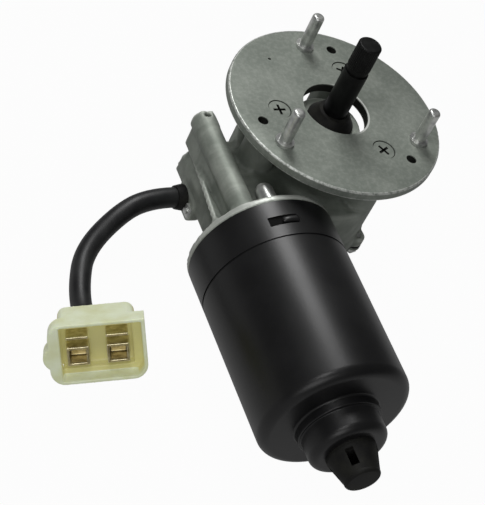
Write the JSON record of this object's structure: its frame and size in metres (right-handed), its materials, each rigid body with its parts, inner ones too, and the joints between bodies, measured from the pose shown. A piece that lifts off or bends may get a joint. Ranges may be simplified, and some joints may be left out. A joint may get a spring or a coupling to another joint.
{
  "type": "wiper motor",
  "caption": "Wiper gear motor: worm-geared output shaft through a round stud plate, black motor can alongside, short cable with a blade connector.",
  "frame": {"origin": "centre of the mounting plate's upper face, on the output shaft's axis", "axes": "+Z along the output shaft away from the gear case; the motor's axis runs parallel to Y and its far end points to -Y"},
  "size_m": [0.2081, 0.2267, 0.1256],
  "materials": {
    "plate_steel": "satin zinc plate",
    "bright_steel": "turned and bright",
    "cast_aluminium": "raw die casting",
    "gasket_sheet": "pressed sheet",
    "carrier_plastic": "moulded",
    "brass": "pressed sheet",
    "gear_nylon": "moulded",
    "black_steel": "black phosphate",
    "bronze": "sintered bronze",
    "black_rubber": "moulded, matt",
    "can_paint": "satin black paint",
    "ferrite": "sintered",
    "core_steel": "stacked sheets",
    "copper": "enamelled wire and copper bars",
    "board": "laminated sheet",
    "carbon": "pressed carbon",
    "cable_sleeve": "smooth PVC sleeve",
    "milky_nylon": "natural nylon"
  },
  "bodies": {
    "motor": {"mounting_plate": "plate_steel", "mounting_studs": "bright_steel", "plate_screws": "bright_steel", "gear_case": "cast_aluminium", "gear_cover": "plate_steel", "cover_gasket": "gasket_sheet", "cover_screws": "bright_steel", "contact_carrier": "carrier_plastic", "contact_strips": "brass", "thrust_washers": "bright_steel", "shaft_bushes": "bronze", "shaft_boot": "black_rubber", "motor_can": "can_paint", "end_cap": "black_rubber", "through_bolts": "bright_steel", "flange_screws": "bright_steel", "magnets": "ferrite", "front_bush": "bronze", "rear_bush": "bronze", "rear_bush_seat": "bright_steel", "thrust_screw": "bright_steel", "brush_plate": "board", "brush_holders": "brass", "brushes": "carbon", "brush_springs": "bright_steel", "cable_grommet": "black_rubber", "grommet_tab": "bright_steel", "grommet_screw": "bright_steel", "cable": "cable_sleeve", "connector_housing": "milky_nylon", "connector_terminals": "brass"},
    "output": {"output_shaft": "black_steel", "shaft_clip": "bright_steel", "worm_wheel": "gear_nylon", "wheel_hub": "bright_steel", "park_disc": "brass"},
    "armature": {"armature_shaft": "bright_steel", "thrust_ball": "bright_steel", "armature_core": "core_steel", "armature_windings": "copper", "commutator": "copper"}
  },
  "joints": [
    {"name": "armature_spin", "type": "hinge", "parent": "motor", "child": "armature", "pos_m": [-0.0386, 0, -0.0482], "axis": [0, 1, 0], "continuous": true},
    {"name": "output_spin", "type": "hinge", "parent": "motor", "child": "output", "pos_m": [0, 0, 0], "axis": [0, 0, 1], "continuous": true}
  ],
  "couplings": [
    {"joint": "output_spin", "follows": "armature_spin", "ratio": 0.019231}
  ]
}
